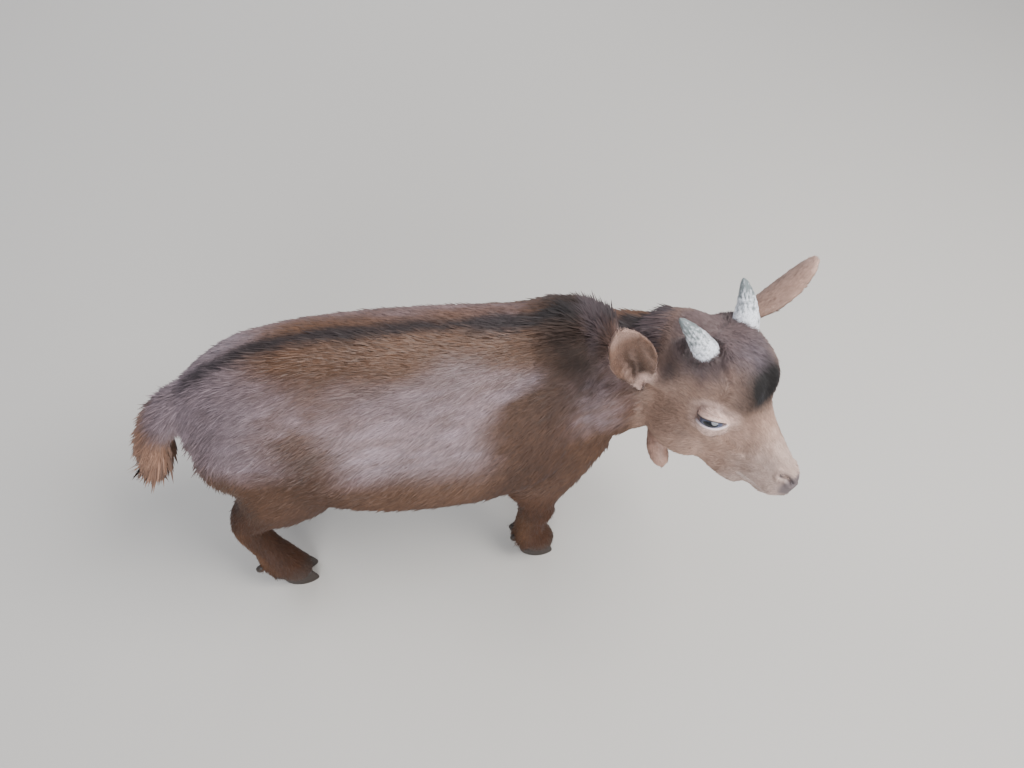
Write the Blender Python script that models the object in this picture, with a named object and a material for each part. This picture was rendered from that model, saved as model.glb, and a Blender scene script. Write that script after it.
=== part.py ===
# A dwarf goat kid about three months old, standing with its head turned to its right.
# Metres. +X is the way the trunk faces, +Y is the goat's left, +Z is up.
# The origin is on the floor, under the middle of the bounding box.
# Every outline is taken at the tips of the coat.

import math

import bmesh
import bpy
import numpy as np
from mathutils import Matrix, Vector

GAP = 0.0004                 # clearance between neighbouring solids
MM = 0.001

# Volume of the flesh before it is parted
VOXEL = 0.0032
SMOOTH_FACTOR = 0.5
SMOOTH_STEPS = 9
HEAD_TRIANGLES = 1700
BODY_TRIANGLES = 2450
RING = 36                    # points round each section
STEPS = 5                    # rings from one station to the next

# Trunk: x, centre y, top, height of the widest place, bottom, half width
TRUNK = (
    (-0.232, -0.010, 0.272, 0.245, 0.218, 0.022),
    (-0.218, -0.010, 0.292, 0.240, 0.192, 0.044),
    (-0.185, -0.011, 0.312, 0.235, 0.168, 0.064),
    (-0.140, -0.012, 0.323, 0.224, 0.154, 0.075),
    (-0.095, -0.012, 0.325, 0.210, 0.145, 0.082),
    (-0.045, -0.012, 0.323, 0.205, 0.140, 0.085),
    (0.005, -0.012, 0.320, 0.204, 0.140, 0.083),
    (0.050, -0.012, 0.322, 0.209, 0.147, 0.076),
    (0.085, -0.010, 0.332, 0.220, 0.160, 0.064),
    (0.115, -0.010, 0.318, 0.228, 0.174, 0.054),
    (0.138, -0.012, 0.288, 0.234, 0.194, 0.036),
)

# Neck: centre x, y, z, then half width, reach up and reach down, square to its own line
NECK = (
    (0.055, -0.012, 0.255, 0.053, 0.060, 0.067),
    (0.092, -0.013, 0.254, 0.055, 0.058, 0.068),
    (0.124, -0.015, 0.256, 0.053, 0.050, 0.064),
    (0.148, -0.019, 0.263, 0.048, 0.045, 0.060),
    (0.168, -0.029, 0.272, 0.042, 0.042, 0.054),
    (0.184, -0.046, 0.276, 0.036, 0.036, 0.044),
)
HEAD_BLADE = ((0.166, -0.024, 0.278), (0.80, -0.60, 0.06), 0.078)
NECK_BLADE = ((0.112, -0.014, 0.262), (0.97, -0.06, 0.22), 0.090)

# Tail: centre x, y, z, then half width, reach up and reach down
TAIL = (
    (-0.200, -0.011, 0.276, 0.020, 0.014, 0.016),
    (-0.228, -0.011, 0.268, 0.022, 0.013, 0.016),
    (-0.252, -0.013, 0.248, 0.023, 0.012, 0.015),
    (-0.268, -0.016, 0.224, 0.022, 0.011, 0.014),
    (-0.278, -0.019, 0.203, 0.016, 0.008, 0.011),
    (-0.285, -0.021, 0.188, 0.005, 0.003, 0.004),
)

TAIL_BLADE = ((-0.252, -0.013, 0.248), (-0.77, 0.0, -0.64), 0.028)

# Head, in its own frame: x runs from between the ears to the nose, y left, z to the brow
HEAD_PLACE = (0.1755, -0.0355, 0.310)
HEAD_YAW = -58.2             # degrees, turned to its right
HEAD_PITCH = 11.0            # degrees, nose down
HEAD_ROLL = -14.5
HEAD_SCALE = 1.07 * MM

# Head: x, top, height of the widest place, bottom, half width, in millimetres before scaling
SKULL = (
    (-34.0, 4.0, -16.0, -40.0, 20.0),
    (-20.0, 19.0, -10.0, -55.0, 28.0),
    (2.0, 30.0, -5.0, -64.0, 32.0),
    (24.0, 35.0, -6.0, -65.0, 33.0),
    (44.0, 33.0, -8.0, -61.0, 31.0),
    (60.0, 23.0, -12.0, -56.0, 25.5),
    (78.0, 9.5, -16.0, -51.0, 21.0),
    (95.0, 2.0, -19.0, -46.0, 17.5),
    (107.0, -2.0, -20.0, -41.0, 14.5),
    (116.0, -6.0, -19.0, -35.0, 11.0),
    (122.5, -10.0, -20.0, -31.0, 8.0),
    (127.0, -16.0, -22.0, -28.0, 4.5),
)

# Paired swellings of the head: centre x, y, z, then radii along x, y, z
HEAD_FORMS = {
    "brow": (45.0, 23.5, 6.0, 22.0, 13.0, 10.5),
    "cheek_bone": (44.0, 23.5, -17.0, 23.0, 11.5, 9.0),
    "temple": (12.0, 23.0, 4.0, 22.0, 12.0, 18.0),
    "forehead": (32.0, 11.0, 15.0, 33.0, 24.0, 25.0),
    "horn_boss": (9.0, 25.0, 15.0, 16.0, 13.0, 14.0),
    "cheek": (34.0, 20.0, -45.0, 30.0, 14.0, 23.0),
    "jaw": (66.0, 11.0, -44.0, 34.0, 9.0, 12.0),
    "lip": (108.0, 6.5, -25.0, 16.0, 8.5, 9.5),
    "nostril": (116.0, 5.0, -12.0, 8.0, 5.0, 6.5),
    "chin": (106.0, 4.0, -34.5, 13.0, 8.0, 6.5),
    "ear_root": (3.0, 29.0, -6.0, 15.0, 12.0, 17.0),
}

EYE_PLACE = (51.5, 26.5, -3.5)
EYE_RADIUS = 11.5
EYE_SLIT = (12.0, 6.5, 4.8)          # radii of the opening between the lids
EYE_CORNERS = (0.85, -0.36, 0.38)    # from the rear corner of the lids to the front one

# Horn: base and tip in the head's frame, and the radii at the base
HORNS = {
    "horn_right": ((10.5, -24.0, 28.0), (-18.0, -41.0, 47.5)),
    "horn_left": ((11.0, 28.0, 31.0), (-17.0, 44.0, 50.0)),
}
HORN_RADII = (11.5, 9.5)
HORN_SINK = 0.18                     # share of the length that is under the coat
HORN_BOW = 2.5

# Ears, in the head's frame: each has its root, the way it points and the way it opens
EAR_LENGTH = 90.0
EAR_HALF_WIDTH = 22.0
EAR_THICKNESS = 4.2
EAR_CUP = 1.0                       # radians that half the blade curls through
EARS = {
    "ear_right": ((-1.0, -38.0, -21.0), (-0.28, -0.59, 0.75), (0.92, -0.40, 0.03)),
    "ear_left": ((2.0, 34.0, 2.0), (0.08, 0.72, 0.69), (0.81, 0.36, -0.45)),
}

# Wattles on the throat, swung forward a little: in the head's frame
WATTLE_ROOT = (15.0, 20.0, -60.0)
WATTLE_FALL = (0.86, 0.12, -0.50)
WATTLE_LENGTH = 46.0
WATTLE_RADIUS = 8.8
WATTLE_STALK = 0.42                  # its share of that radius

# Legs: forward of the foot, in from the foot, height, half width, reach forward, reach back
FORELEG = (
    (0.026, 0.024, 0.250, 0.022, 0.040, 0.040),
    (0.018, 0.022, 0.215, 0.026, 0.042, 0.050),
    (0.006, 0.016, 0.178, 0.025, 0.038, 0.058),
    (-0.002, 0.010, 0.148, 0.022, 0.030, 0.043),
    (-0.006, 0.006, 0.118, 0.0185, 0.0200, 0.0225),
    (-0.006, 0.004, 0.098, 0.0190, 0.0205, 0.0175),
    (-0.008, 0.003, 0.078, 0.0155, 0.0160, 0.0160),
    (-0.010, 0.001, 0.056, 0.0155, 0.0155, 0.0165),
    (-0.008, 0.000, 0.042, 0.0180, 0.0175, 0.0190),
    (0.000, 0.000, 0.026, 0.0172, 0.0170, 0.0185),
    (0.004, 0.000, 0.012, 0.0168, 0.0175, 0.0190),
    (0.006, 0.000, -0.004, 0.0165, 0.0175, 0.0185),
)
HINDLEG = (
    (0.020, 0.024, 0.262, 0.030, 0.050, 0.036),
    (0.026, 0.020, 0.230, 0.033, 0.056, 0.046),
    (0.026, 0.015, 0.195, 0.031, 0.050, 0.050),
    (0.008, 0.014, 0.162, 0.026, 0.040, 0.038),
    (-0.018, 0.015, 0.136, 0.0200, 0.0270, 0.0220),
    (-0.031, 0.015, 0.118, 0.0180, 0.0200, 0.0140),
    (-0.031, 0.012, 0.098, 0.0165, 0.0170, 0.0130),
    (-0.023, 0.007, 0.072, 0.0155, 0.0150, 0.0130),
    (-0.016, 0.003, 0.048, 0.0180, 0.0175, 0.0190),
    (-0.006, 0.000, 0.028, 0.0172, 0.0170, 0.0185),
    (0.001, 0.000, 0.012, 0.0168, 0.0175, 0.0190),
    (0.003, 0.000, -0.004, 0.0165, 0.0175, 0.0185),
)

# Blades across the legs: place down the table above, then the blade's radius
LEG_CUTS = ((3.35, 0.046), (5.0, 0.040))

# Feet: station table, x, y and which way the toes turn in degrees
FEET = {
    "fore_right": (FORELEG, 0.066, -0.070, -3.0),
    "fore_left": (FORELEG, 0.072, 0.050, 4.0),
    "hind_right": (HINDLEG, -0.185, -0.068, 3.0),
    "hind_left": (HINDLEG, -0.190, 0.050, 5.0),
}

# Shoulder and haunch, as on the right side: x, y, z, then radii
SHOULDER = (0.082, -0.048, 0.235, 0.040, 0.022, 0.066)
HAUNCH = (-0.172, -0.050, 0.228, 0.052, 0.028, 0.056)
BODY_MIDDLE = -0.008

# Claws of a foot
CLAW_LENGTH = 0.036
CLAW_WIDTH = 0.0136
CLAW_PARTING = 0.0012
CLAW_SPLAY = 5.0             # degrees that each claw turns outwards
# rings up a claw: share of its height, share of its outline, how far back it leans
CLAW_RINGS = ((0.0, 0.95, 0.0), (0.09, 1.0, 0.0), (0.5, 0.97, 0.0018), (1.0, 0.93, 0.0036))
CORONET_FRONT = 0.0215       # height of the hair line at the toe
CORONET_BACK = 0.0125
DEWCLAW_SPREAD = 0.0085
DEWCLAW_SINK = 0.0015
FETLOCK = 8                  # row of the leg tables
DEWCLAW_RADII = (0.0055, 0.0042, 0.0065)

COLOURS = {
    "coat": (0.105, 0.058, 0.040),
    "face": (0.270, 0.170, 0.130),
    "ear": (0.240, 0.135, 0.090),
    "leg": (0.095, 0.045, 0.028),
    "tail": (0.300, 0.135, 0.060),
    "wattle": (0.330, 0.200, 0.165),
    "horn": (0.480, 0.500, 0.490),
    "claw": (0.030, 0.022, 0.018),
    "eye": (0.020, 0.022, 0.030),
}


def clearScene():
    for item in list(bpy.data.objects):
        bpy.data.objects.remove(item, do_unlink=True)


def makeMaterial(name, roughness):
    material = bpy.data.materials.new(name)
    material.use_nodes = True
    shader = material.node_tree.nodes["Principled BSDF"]
    shader.inputs["Base Color"].default_value = (*COLOURS[name], 1.0)
    shader.inputs["Roughness"].default_value = roughness
    return material


def addObject(name, mesh, material=None):
    item = bpy.data.objects.new(name, mesh)
    bpy.context.scene.collection.objects.link(item)
    if material:
        mesh.materials.clear()
        mesh.materials.append(material)
    return item


def smoothRows(rows, steps):
    # Catmull-Rom curve through the rows of a table
    table = np.array(rows, float)
    padded = np.vstack([2 * table[0] - table[1], table, 2 * table[-1] - table[-2]])
    result = []
    for k in range(len(table) - 1):
        before, start, end, after = padded[k:k + 4]
        for t in np.arange(steps) / steps:
            result.append(0.5 * (2 * start + (end - before) * t
                                 + (2 * before - 5 * start + 4 * end - after) * t ** 2
                                 + (3 * start - before - 3 * end + after) * t ** 3))
    result.append(table[-1])
    return np.array(result)


def skinRings(bm, rings):
    # closed tube through rings of points
    loops = [[bm.verts.new(point) for point in ring] for ring in rings]
    for near, far in zip(loops, loops[1:]):
        count = len(near)
        for k in range(count):
            after = (k + 1) % count
            bm.faces.new((near[k], near[after], far[after], far[k]))
    bm.faces.new(loops[0][::-1])
    bm.faces.new(loops[-1])


def ovalRing(centre, side, lift, half, up, down):
    ring = []
    for k in range(RING):
        angle = 2 * math.pi * k / RING
        reach = up if math.sin(angle) >= 0 else down
        ring.append(centre + side * (half * math.cos(angle)) + lift * (reach * math.sin(angle)))
    return ring


def addBarrel(bm, rows, place):
    # sections square to x
    rings = []
    for x, y, top, middle, bottom, half in smoothRows(rows, STEPS):
        ring = ovalRing(Vector((x, y, middle)), Vector((0, 1, 0)), Vector((0, 0, 1)),
                        half, top - middle, middle - bottom)
        rings.append([place @ point for point in ring])
    skinRings(bm, rings)


def addLimb(bm, rows, front):
    # sections square to the limb's own line, with "up" as near as it can be to front
    table = smoothRows(rows, STEPS)
    centres = [Vector(row[:3]) for row in table]
    rings = []
    for k, row in enumerate(table):
        along = (centres[min(k + 1, len(table) - 1)] - centres[max(k - 1, 0)]).normalized()
        side = front.cross(along).normalized()
        lift = along.cross(side)
        rings.append(ovalRing(centres[k], side, lift, row[3], row[4], row[5]))
    skinRings(bm, rings)


def addBall(bm, place, centre, radii, segments=24):
    stretch = Matrix.Translation(Vector(centre)) @ Matrix.Diagonal((*radii, 1.0))
    bmesh.ops.create_uvsphere(bm, u_segments=segments, v_segments=segments // 2, radius=1.0,
                              matrix=place @ stretch)


def closeMesh(bm, name):
    bmesh.ops.recalc_face_normals(bm, faces=bm.faces)
    mesh = bpy.data.meshes.new(name)
    bm.to_mesh(mesh)
    bm.free()
    return mesh


def headFrame():
    turn = (Matrix.Rotation(math.radians(HEAD_YAW), 4, "Z")
            @ Matrix.Rotation(math.radians(HEAD_PITCH), 4, "Y")
            @ Matrix.Rotation(math.radians(HEAD_ROLL), 4, "X"))
    return Matrix.Translation(HEAD_PLACE) @ turn @ Matrix.Scale(HEAD_SCALE, 4)


def mirrored(point, side):
    return Vector((point[0], side * point[1], point[2]))


def legRows(table, footX, footY):
    inward = -math.copysign(1.0, footY)
    return [(footX + ahead, footY + inward * inside, height, half, front, back)
            for ahead, inside, height, half, front, back in table]


def baked(item):
    # the mesh as its modifiers leave it
    graph = bpy.context.evaluated_depsgraph_get()
    mesh = bpy.data.meshes.new_from_object(item.evaluated_get(graph))
    item.modifiers.clear()
    item.data = mesh
    return mesh


def triangleCount(mesh):
    mesh.calc_loop_triangles()
    return len(mesh.loop_triangles)


def reduceTo(item, triangles):
    thin = item.modifiers.new("Thin", "DECIMATE")
    thin.ratio = triangles / triangleCount(item.data)
    thin.use_collapse_triangulate = True
    baked(item)


def makeFlesh():
    bm = bmesh.new()
    world = Matrix.Identity(4)
    addBarrel(bm, TRUNK, world)
    addLimb(bm, NECK, Vector((0, 0, 1)))
    addLimb(bm, TAIL, Vector((0, 0, 1)))
    for table, footX, footY, _ in FEET.values():
        addLimb(bm, legRows(table, footX, footY), Vector((1, 0, 0)))
    for form in (SHOULDER, HAUNCH):
        for side in (1, -1):
            centre = (form[0], BODY_MIDDLE + side * (form[1] - BODY_MIDDLE), form[2])
            addBall(bm, world, centre, form[3:])
    head = headFrame()
    addBarrel(bm, [(x, 0.0, *rest) for x, *rest in SKULL], head)
    for form in HEAD_FORMS.values():
        for side in (1, -1):
            addBall(bm, head, mirrored(form[:3], side), form[3:])
    flesh = addObject("flesh", closeMesh(bm, "flesh"))
    remesh = flesh.modifiers.new("Join", "REMESH")
    remesh.mode = "VOXEL"
    remesh.voxel_size = VOXEL
    smooth = flesh.modifiers.new("Soften", "SMOOTH")
    smooth.factor = SMOOTH_FACTOR
    smooth.iterations = SMOOTH_STEPS
    baked(flesh)
    return flesh


def cutAway(item, tool):
    cut = item.modifiers.new("Cut", "BOOLEAN")
    cut.operation = "DIFFERENCE"
    cut.solver = "EXACT"
    cut.object = tool
    baked(item)
    bpy.data.objects.remove(tool, do_unlink=True)


def makeDisc(centre, normal, radius):
    # thin round blade that parts the flesh
    bm = bmesh.new()
    turn = Vector((0, 0, 1)).rotation_difference(Vector(normal)).to_matrix().to_4x4()
    bmesh.ops.create_cone(bm, cap_ends=True, segments=16, radius1=radius, radius2=radius, depth=GAP,
                          matrix=Matrix.Translation(centre) @ turn)
    return addObject("blade", closeMesh(bm, "blade"))


def loosePieces(item):
    bm = bmesh.new()
    bm.from_mesh(item.data)
    bm.verts.index_update()
    seen = set()
    pieces = []
    for start in bm.verts:
        if start in seen:
            continue
        group = {start}
        edge = [start]
        while edge:
            vert = edge.pop()
            for link in vert.link_edges:
                other = link.other_vert(vert)
                if other not in group:
                    group.add(other)
                    edge.append(other)
        seen |= group
        pieces.append({vert.index for vert in group})
    bm.free()
    result = []
    for group in pieces:
        part = bmesh.new()
        part.from_mesh(item.data)
        part.verts.ensure_lookup_table()
        bmesh.ops.delete(part, geom=[v for v in part.verts if v.index not in group], context="VERTS")
        result.append(closeMesh(part, "piece"))
    bpy.data.objects.remove(item, do_unlink=True)
    return result


def middle(mesh):
    points = np.array([vert.co for vert in mesh.vertices])
    return (points.min(axis=0) + points.max(axis=0)) / 2


def hornRings(root, tip, grow):
    # horn: from its sunk root to the tip, bowed a little
    grow = grow / HEAD_SCALE
    root = Vector(root)
    tip = Vector(tip)
    along = (tip - root).normalized()
    side = Vector((0, 1, 0)).cross(along).normalized()
    lift = along.cross(side)
    rings = []
    count = 8
    sides = 12
    for k in range(count + 1):
        share = k / count
        taper = 1.0 - 0.62 * share - 0.30 * share ** 4
        reach = share - HORN_SINK
        centre = root.lerp(tip, reach) + side * HORN_BOW * math.sin(math.pi * share)
        if k == 0:
            centre -= along * grow
        rings.append([centre
                      + side * (HORN_RADII[0] * taper + grow) * math.cos(2 * math.pi * j / sides)
                      + lift * (HORN_RADII[1] * taper + grow) * math.sin(2 * math.pi * j / sides)
                      for j in range(sides)])
    return rings


def hornMesh(root, tip, grow):
    head = headFrame()
    bm = bmesh.new()
    rings = [[head @ point for point in ring] for ring in hornRings(root, tip, grow)]
    skinRings(bm, rings)
    return closeMesh(bm, "horn")


def earMesh(root, along, opening, grow):
    # a leaf curled round its midrib, with a narrow tube for a root
    head = headFrame()
    along = Vector(along).normalized()
    opening = Vector(opening)
    opening = (opening - along * opening.dot(along)).normalized()
    across = opening.cross(along)
    root = Vector(root)
    grow = grow / HEAD_SCALE
    lengths = 12
    widths = 6

    def bladePoint(u, v, level):
        spread = EAR_HALF_WIDTH * (0.42 + 0.58 * math.sin(math.pi * min(1.0, u * 1.25) / 2) ** 1.5)
        spread *= math.sqrt(max(0.0, 1.0 - max(0.0, (u - 0.40) / 0.60) ** 1.6))
        curl = EAR_CUP * (1.75 - 1.15 * u)
        radius = max(spread, 0.5) / curl
        bend = (curl + grow / radius) * v
        rim = 1.0 - 0.45 * abs(v) ** 3
        reach = radius - level * (EAR_THICKNESS / 2 * rim + grow)
        return (root + along * (EAR_LENGTH * u if u else -grow)
                + across * (reach * math.sin(bend))
                + opening * (radius - reach * math.cos(bend)))

    rings = []
    for i in range(lengths + 1):
        u = 0.985 * i / lengths
        outer = [bladePoint(u, -1 + 2 * j / widths, -1) for j in range(widths + 1)]
        inner = [bladePoint(u, 1 - 2 * j / widths, 1) for j in range(widths + 1)]
        rings.append([head @ point for point in outer + inner])
    bm = bmesh.new()
    skinRings(bm, rings)
    return closeMesh(bm, "ear")


def eyeMesh(side, grow):
    bm = bmesh.new()
    addBall(bm, headFrame(), mirrored(EYE_PLACE, side), (EYE_RADIUS + grow / HEAD_SCALE,) * 3, 14)
    return closeMesh(bm, "eye")


def slitMesh(side):
    # opening between the lids, on the line through the two corners of the eye
    along = Vector(EYE_CORNERS).normalized()
    upward = along.cross(Vector((0, 1, 0))).normalized()
    outward = upward.cross(along)
    turn = Matrix((along, outward, upward)).transposed().to_4x4()
    centre = Vector(EYE_PLACE) + outward * EYE_RADIUS
    mirror = Matrix.Diagonal((1, side, 1, 1))
    bm = bmesh.new()
    addBall(bm, headFrame() @ mirror @ Matrix.Translation(centre) @ turn, (0, 0, 0), EYE_SLIT, 16)
    return closeMesh(bm, "slit")


def wattleMesh(side, grow):
    # a thin stalk that ends in a plump drop
    head = headFrame()
    fall = Vector(WATTLE_FALL).normalized()
    ahead = Vector((0, 1, 0)).cross(fall).normalized()
    outward = fall.cross(ahead)
    grow = grow / HEAD_SCALE
    rings = []
    count = 8
    for k in range(count + 1):
        share = k / count
        stalk = WATTLE_STALK if share < 0.9 else 0.0
        drop = max(0.0, math.sin(math.pi * max(0.0, share - 0.30) / 0.70)) ** 0.45
        radius = WATTLE_RADIUS * max(stalk, drop) + grow
        reach = WATTLE_LENGTH * share - (grow if k == 0 else 0.0)
        centre = Vector(WATTLE_ROOT) + fall * reach
        ring = ovalRing(centre, ahead, outward, radius, 0.8 * radius, 0.8 * radius)[::4]
        rings.append([head @ mirrored(point, side) for point in ring])
    bm = bmesh.new()
    skinRings(bm, rings)
    return closeMesh(bm, "wattle")


def footFrame(name):
    _, footX, footY, toe = FEET[name]
    return Matrix.Translation((footX, footY, 0)) @ Matrix.Rotation(math.radians(toe), 4, "Z")


def coronetHeight(x):
    share = x / CLAW_LENGTH + 0.5
    return CORONET_BACK + (CORONET_FRONT - CORONET_BACK) * share


def clawOutline(shrink, back):
    # round at the heel, straight inside, drawn to a blunt point at the toe
    points = []
    count = 12
    for k in range(count):
        angle = 2 * math.pi * k / count
        x = math.cos(angle)
        y = math.sin(angle)
        point = 1.0 - 0.45 * max(0.0, x) ** 2
        wide = y * point if y > 0 else y * (0.78 + 0.22 * point)
        lengthways = CLAW_LENGTH / 2 * x * shrink
        points.append(Vector((lengthways - back, CLAW_WIDTH / 2 * wide * shrink, 0)))
    return points


def clawMesh(foot, side):
    offset = side * (CLAW_WIDTH + CLAW_PARTING) / 2
    turn = Matrix.Rotation(math.radians(side * CLAW_SPLAY), 4, "Z")
    place = footFrame(foot) @ Matrix.Translation((0, offset, 0)) @ turn
    rings = []
    for height, shrink, back in CLAW_RINGS:
        ring = []
        for point in clawOutline(shrink, back):
            x, y = point.x, side * point.y
            ring.append(place @ Vector((x, y, height * coronetHeight(x))))
        rings.append(ring)
    bm = bmesh.new()
    skinRings(bm, rings)
    return closeMesh(bm, "claw")


def dewclawMesh(foot, side, grow):
    # a pair sits behind the fetlock, half sunk in it
    ahead, _, height, _, _, back = FEET[foot][0][FETLOCK]
    bm = bmesh.new()
    tilt = Matrix.Rotation(math.radians(25), 4, "Y")
    centre = (ahead - back + DEWCLAW_SINK, side * DEWCLAW_SPREAD, height - DEWCLAW_SINK)
    place = footFrame(foot) @ Matrix.Translation(centre) @ tilt
    addBall(bm, place, (0, 0, 0), [radius + grow for radius in DEWCLAW_RADII], 8)
    return closeMesh(bm, "dewclaw")


def cutFoot(item, foot):
    # the leg ends on a slanting plane just above the claws
    slope = math.atan2(CORONET_FRONT - CORONET_BACK, CLAW_LENGTH)
    size = 0.08
    level = coronetHeight(0.0) + GAP
    bm = bmesh.new()
    place = (footFrame(foot) @ Matrix.Translation((0, 0, level)) @ Matrix.Rotation(-slope, 4, "Y")
             @ Matrix.Translation((0, 0, -size / 2)))
    bmesh.ops.create_cube(bm, size=size, matrix=place)
    cutAway(item, addObject("sole cut", closeMesh(bm, "sole cut")))


def addFitted(name, build, hosts, slot):
    # a piece whose root sits in a socket of the flesh, with the clearance all round
    for host in hosts:
        cutAway(host, addObject("socket", build(GAP)))
    piece = addObject(name, build(0.0), slot)
    piece.data.shade_smooth()
    return piece


def centreModel():
    # put the origin on the floor under the middle of the bounding box
    points = np.array([vert.co for item in bpy.data.objects for vert in item.data.vertices])
    low = points.min(axis=0)
    high = points.max(axis=0)
    shift = Matrix.Translation((-(low[0] + high[0]) / 2, -(low[1] + high[1]) / 2, -low[2]))
    for item in bpy.data.objects:
        item.data.transform(shift)


def nearestName(mesh, places):
    point = Vector(middle(mesh))
    return min(places, key=lambda name: (Vector(places[name]) - point).length)


def blades():
    # thin cuts: between trunk and neck, at the tail root, and across each leg twice
    result = [NECK_BLADE, TAIL_BLADE]
    for table, footX, footY, _ in FEET.values():
        rows = legRows(table, footX, footY)
        for place, radius in LEG_CUTS:
            above = Vector(rows[int(place)][:3])
            below = Vector(rows[int(place) + 1][:3])
            result.append((above.lerp(below, place % 1), (above - below).normalized(), radius))
    return result


def partBody(body):
    for centre, normal, radius in blades():
        cutAway(body, makeDisc(centre, normal, radius))
    places = {"trunk": (-0.05, BODY_MIDDLE, 0.235), "neck": NECK[3][:3], "tail": TAIL[3][:3]}
    for foot, (table, footX, footY, _) in FEET.items():
        rows = legRows(table, footX, footY)
        places[f"leg_{foot}_upper"] = rows[4][:3]
        places[f"leg_{foot}_lower"] = rows[8][:3]
    pieces = {}
    for mesh in loosePieces(body):
        name = nearestName(mesh, places)
        pieces[name] = addObject(name, mesh)
    return pieces


def main():
    clearScene()
    slots = {name: makeMaterial(name, 0.55) for name in COLOURS}

    # part the head from the rest while the mesh is fine, then thin each out
    flesh = makeFlesh()
    cutAway(flesh, makeDisc(*HEAD_BLADE))
    *_, headMesh, bodyMesh = sorted(loosePieces(flesh), key=lambda mesh: len(mesh.vertices))
    head = addObject("head", headMesh, slots["face"])
    body = addObject("body", bodyMesh)
    reduceTo(head, HEAD_TRIANGLES)
    reduceTo(body, BODY_TRIANGLES)
    pieces = partBody(body)

    for foot in FEET:
        lower = pieces[f"leg_{foot}_lower"]
        cutFoot(lower, foot)
        outside = math.copysign(1, FEET[foot][2])
        for side in (1, -1):
            word = "outer" if side == outside else "inner"
            addObject(f"claw_{foot}_{word}", clawMesh(foot, side), slots["claw"])
            addFitted(f"dewclaw_{foot}_{word}", lambda grow: dewclawMesh(foot, side, grow),
                      [lower], slots["claw"])

    throat = [head, pieces["neck"]]
    for side, word in ((1, "left"), (-1, "right")):
        cutAway(head, addObject("lids", slitMesh(side)))
        addFitted(f"eye_{word}", lambda grow: eyeMesh(side, grow), [head], slots["eye"])
        addFitted(f"horn_{word}", lambda grow: hornMesh(*HORNS[f"horn_{word}"], grow), [head], slots["horn"])
        addFitted(f"ear_{word}", lambda grow: earMesh(*EARS[f"ear_{word}"], grow), throat, slots["ear"])
        addFitted(f"wattle_{word}", lambda grow: wattleMesh(side, grow), throat, slots["wattle"])

    head.data.shade_smooth()
    for name, piece in pieces.items():
        piece.data.shade_smooth()
        slot = "leg" if name.startswith("leg") else "tail" if name == "tail" else "coat"
        piece.data.materials.clear()
        piece.data.materials.append(slots[slot])
    centreModel()


if __name__ == "__main__":
    main()
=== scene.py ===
import math
from functools import partial

import bmesh
import bpy
import numpy as np
from mathutils import Matrix, Vector
from mathutils.bvhtree import BVHTree


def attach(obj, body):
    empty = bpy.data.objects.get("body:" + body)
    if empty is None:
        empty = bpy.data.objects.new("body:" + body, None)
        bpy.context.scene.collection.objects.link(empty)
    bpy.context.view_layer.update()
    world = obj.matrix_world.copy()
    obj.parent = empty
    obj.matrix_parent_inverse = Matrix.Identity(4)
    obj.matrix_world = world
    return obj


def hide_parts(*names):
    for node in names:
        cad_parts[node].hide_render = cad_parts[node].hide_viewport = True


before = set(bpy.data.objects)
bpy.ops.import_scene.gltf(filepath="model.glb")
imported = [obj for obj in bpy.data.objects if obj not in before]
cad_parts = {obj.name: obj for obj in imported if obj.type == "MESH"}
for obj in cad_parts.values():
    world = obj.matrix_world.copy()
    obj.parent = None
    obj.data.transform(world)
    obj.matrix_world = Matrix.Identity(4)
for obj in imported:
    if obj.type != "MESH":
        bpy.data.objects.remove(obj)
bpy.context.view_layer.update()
rng = np.random.default_rng(7)


def toLinear(hexText):
    # sRGB hex to linear rgb
    parts = [int(hexText[k:k + 2], 16) / 255 for k in (1, 3, 5)]
    return np.array([c / 12.92 if c <= 0.04045 else ((c + 0.055) / 1.055) ** 2.4 for c in parts])


def paint(hexText):
    # the same for a colour socket
    return (*toLinear(hexText), 1)


def ease(low, high, value):
    t = np.clip((value - low) / (high - low), 0.0, 1.0)
    return t * t * (3 - 2 * t)


def hump(value, middle, width, power=2):
    # 1 at the middle, running out softly on both sides
    return np.exp(-((value - middle) / width) ** power)


def lengths(vectors):
    return np.linalg.norm(vectors, axis=1)


def unit(vectors):
    return vectors / np.maximum(np.linalg.norm(vectors, axis=-1, keepdims=True), 1e-9)


def laidFlat(ways, normals):
    # the part of each way that lies along the skin
    return unit(ways - normals * np.sum(ways * normals, axis=1, keepdims=True))


def readList(items, key, kind, wide):
    values = np.empty(len(items) * wide, dtype=kind)
    items.foreach_get(key, values)
    return values.reshape(-1, wide)


def readPoints(mesh):
    return readList(mesh.vertices, "co", float, 3)


def readNormals(mesh):
    return readList(mesh.vertex_normals, "vector", float, 3)


def writePoints(mesh, points):
    mesh.vertices.foreach_set("co", points.ravel())
    mesh.update()


def addAttribute(mesh, name, values):
    # one number or one colour for each point
    kind, key = ("FLOAT", "value") if values.ndim == 1 else ("FLOAT_COLOR", "color")
    mesh.attributes.new(name, kind, "POINT").data.foreach_set(key, values.ravel())


def spread(values, edges, rounds, share=0.5):
    # average each value with those of its neighbours
    flat = values.reshape(len(values), -1)
    count = len(flat)
    a, b = edges[:, 0], edges[:, 1]
    degree = np.maximum(np.bincount(a, minlength=count) + np.bincount(b, minlength=count), 1)
    for _ in range(rounds):
        near = np.stack([np.bincount(a, flat[b, k], count) + np.bincount(b, flat[a, k], count)
                         for k in range(flat.shape[1])], axis=1) / degree[:, None]
        flat = flat + share * (near - flat)
    return flat.reshape(values.shape)


def meshFrom(bm, name):
    mesh = bpy.data.meshes.new(name)
    bm.to_mesh(mesh)
    bm.free()
    return mesh


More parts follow.
